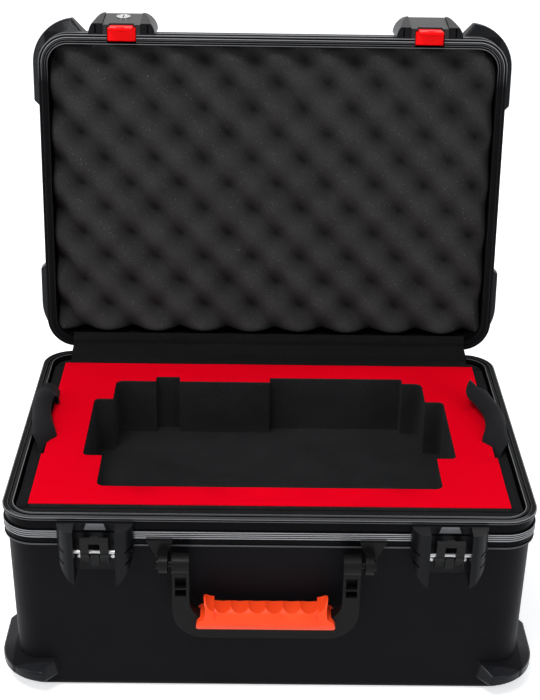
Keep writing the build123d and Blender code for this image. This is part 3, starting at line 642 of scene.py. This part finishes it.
def pull_strap(side, materials):
    """A carrying loop of tape: its ends down in the tray's slots, its slack curled over out of them."""
    s = -1 if side == "left" else 1
    if side == "left":
        stops = [  # x, y, z in mm, the width direction, the curl across it
            ((198.5, 58, 132), (0, 1, 0), 0.02),
            ((198.5, 58, 158), (0, 1, 0), 0.02),
            ((198.0, 57, 171), (0, 1, 0), 0.4),
            ((201.5, 51, 179), (0.15, 0.9, 0.1), 1.0),
            ((206.5, 42, 181), (0.60, 0.8, -0.1), 1.9),
            ((207.5, 28, 179), (0.90, 0.3, -0.3), 2.7),
            ((206.0, 12, 177), (0.95, 0.0, -0.3), 3.0),
            ((203.0, -6, 176), (0.90, -0.3, -0.2), 2.6),
            ((200.0, -23, 173), (0.40, -0.85, 0), 1.3),
            ((198.5, -34, 158), (0, -1, 0), 0.02),
            ((198.5, -34, 132), (0, -1, 0), 0.02),
        ]
    else:
        stops = [
            ((198.5, 58, 132), (0, 1, 0), 0.02),
            ((198.5, 58, 158), (0, 1, 0), 0.02),
            ((195.5, 58, 173), (0, 1, 0), 0.3),
            ((191.0, 58, 181), (-0.1, 0.95, 0.2), 1.0),
            ((192.0, 51, 184), (-0.60, 0.7, 0.1), 1.9),
            ((198.0, 36, 181.5), (-0.95, 0.1, 0.1), 2.5),
            ((204.0, 18, 178), (-0.98, -0.1, 0.1), 2.6),
            ((203.5, -4, 176.5), (-0.98, 0.1, 0.2), 2.5),
            ((200.5, -22, 173), (-0.6, 0.75, 0.1), 1.4),
            ((198.5, -34, 159), (0, 1, 0), 0.02),
            ((198.5, -34, 132), (0, 1, 0), 0.02),
        ]
    line = catmull([(s * p[0] / 1000, p[1] / 1000, p[2] / 1000) for p, _, _ in stops], 10)
    across = catmull([(s * w[0], w[1], w[2]) for _, w, _ in stops], 10)
    curl = -np.maximum(catmull([(c, 0, 0) for _, _, c in stops], 10)[:, 0], 0.02)
    made, length = ribbon(f"{side}_strap_webbing", line, across, curl, 0.025, 0.0013, materials["webbing"])
    soft_piece(made, "tray", f"{side}_pull_strap")
    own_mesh(made)


# ---- fabric over the hinge
def hinge_fabric(materials):
    """Plush strip from the tray's rear edge over the rim and the hinge, and up into the lid."""
    def lid_pair(t, n):
        p = lid_point(0, t, n)
        return p.y, p.z

    route = [(0.1312, 0.1706), (0.1360, 0.1708), (0.1405, 0.1715), (0.1440, 0.1748), (0.1500, 0.1756),
             (0.1560, 0.1762), lid_pair(0.0035, 0.0032), lid_pair(0.0080, 0.0026), lid_pair(0.0112, 0.0004),
             lid_pair(0.0125, -0.0035)]
    line = catmull([(0, y, z) for y, z in route], 6)
    n = len(line)
    columns = 150
    half = 0.1945
    tangent = np.gradient(line, axis=0)
    tangent /= np.linalg.norm(tangent, axis=1)[:, None]
    normal = np.cross((1, 0, 0), tangent)
    run = np.concatenate([[0], np.cumsum(np.linalg.norm(np.diff(line, axis=0), axis=1))])
    thickness = 0.0019
    vertices, faces = [], []
    for side in (1, -1):
        for k in range(n):
            for c in range(columns + 1):
                x = half * (2 * c / columns - 1)
                share = sin(pi * run[k] / run[-1])
                wave = 0.0005 * share * noise.noise(Vector((x * 22, run[k] * 40, 0.3)))
                p = line[k] + normal[k] * (wave + side * thickness / 2)
                vertices.append((x, p[1], p[2]))
    step = columns + 1
    total = n * step
    for k in range(n - 1):
        for c in range(columns):
            a = k * step + c
            faces.append((a, a + 1, a + step + 1, a + step))
            faces.append((total + a, total + a + step, total + a + step + 1, total + a + 1))
        for c in (0, columns):
            a = k * step + c
            faces.append((a, a + step, total + a + step, total + a))
    for k in (0, n - 1):
        for c in range(columns):
            a = k * step + c
            faces.append((a, total + a, total + a + 1, a + 1))
    made = new_object("hinge_fabric", vertices, faces, materials["plush"])
    outward_normals(made)
    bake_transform(made)
    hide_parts("hinge_cover")


# ---- studio
def make_stage():
    n = Nodes("pale_floor")
    shade = n.noise(3, 2.0)
    n.set(color=n.mix(shade, (0.86, 0.86, 0.86), (0.89, 0.89, 0.89)), rough=0.9, specular=0.1)
    bpy.ops.mesh.primitive_plane_add(size=12, location=(0, 0, 0))
    floor = bpy.context.object
    floor.name = "floor"
    floor.data.materials.append(n.material)


def seen_rays(tree):
    """1 on the rays that show the background: from the camera, off a gloss or through a clear piece."""
    path = tree.nodes.new("ShaderNodeLightPath")
    seen = path.outputs["Is Camera Ray"]
    for name in ("Is Glossy Ray", "Is Transmission Ray"):
        either = tree.nodes.new("ShaderNodeMath")
        either.operation = "MAXIMUM"
        tree.links.new(seen, either.inputs[0])
        tree.links.new(path.outputs[name], either.inputs[1])
        seen = either.outputs[0]
    return seen


def whiten_floor():
    """Where it is seen, the floor is plain white apart from the shadow on it."""
    material = bpy.data.objects["floor"].data.materials[0]
    tree = material.node_tree
    glow = tree.nodes.new("ShaderNodeEmission")
    glow.inputs["Color"].default_value = (1, 1, 1, 1)
    add = tree.nodes.new("ShaderNodeAddShader")
    scale = tree.nodes.new("ShaderNodeMath")
    scale.operation = "MULTIPLY"
    scale.inputs[1].default_value = 0.55
    tree.links.new(seen_rays(tree), scale.inputs[0])
    tree.links.new(scale.outputs[0], glow.inputs["Strength"])
    shader = tree.nodes["Principled BSDF"]
    out = tree.nodes["Material Output"]
    tree.links.new(shader.outputs[0], add.inputs[0])
    tree.links.new(glow.outputs[0], add.inputs[1])
    tree.links.new(add.outputs[0], out.inputs["Surface"])


def area_light(name, at, aim, size, size_y, power):
    data = bpy.data.lights.new(name, "AREA")
    data.shape = "RECTANGLE"
    data.size = size
    data.size_y = size_y
    data.energy = power
    made = bpy.data.objects.new(name, data)
    bpy.context.scene.collection.objects.link(made)
    made.location = at
    made.rotation_euler = (Vector(aim) - Vector(at)).to_track_quat("-Z", "Y").to_euler()


def make_lights():
    for lamp in (("key", (-0.5, -0.9, 2.1), (0, 0, 0.2), 0.7, 0.5, 26),
                 ("fill", (1.5, -1.6, 0.9), (0, 0, 0.2), 0.4, 1.4, 9),
                 ("side", (-1.7, -1.0, 0.8), (0, 0, 0.2), 0.3, 1.6, 9),
                 ("back", (0.2, 1.6, 1.8), (0, 0, 0.4), 1.8, 0.4, 12)):
        area_light(*lamp)
    world = bpy.data.worlds.new("studio")
    bpy.context.scene.world = world
    world.use_nodes = True
    tree = world.node_tree
    tree.nodes.clear()
    lit = tree.nodes.new("ShaderNodeBackground")
    lit.inputs["Color"].default_value = (0.9, 0.95, 1.0, 1)
    lit.inputs["Strength"].default_value = 0.55
    white = tree.nodes.new("ShaderNodeBackground")
    white.inputs["Color"].default_value = (1, 1, 1, 1)
    white.inputs["Strength"].default_value = 1.0
    mix = tree.nodes.new("ShaderNodeMixShader")
    out = tree.nodes.new("ShaderNodeOutputWorld")
    tree.links.new(seen_rays(tree), mix.inputs["Fac"])
    tree.links.new(lit.outputs[0], mix.inputs[1])
    tree.links.new(white.outputs[0], mix.inputs[2])
    tree.links.new(mix.outputs[0], out.inputs["Surface"])
    bpy.context.scene.view_settings.view_transform = "Standard"


make_camera()
materials = make_materials()
paint(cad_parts, materials)
crate_foam(materials["crate"])
base_foams(materials)
tray_pieces(materials)
pull_strap("left", materials)
pull_strap("right", materials)
hinge_fabric(materials)
make_stage()
whiten_floor()
make_lights()
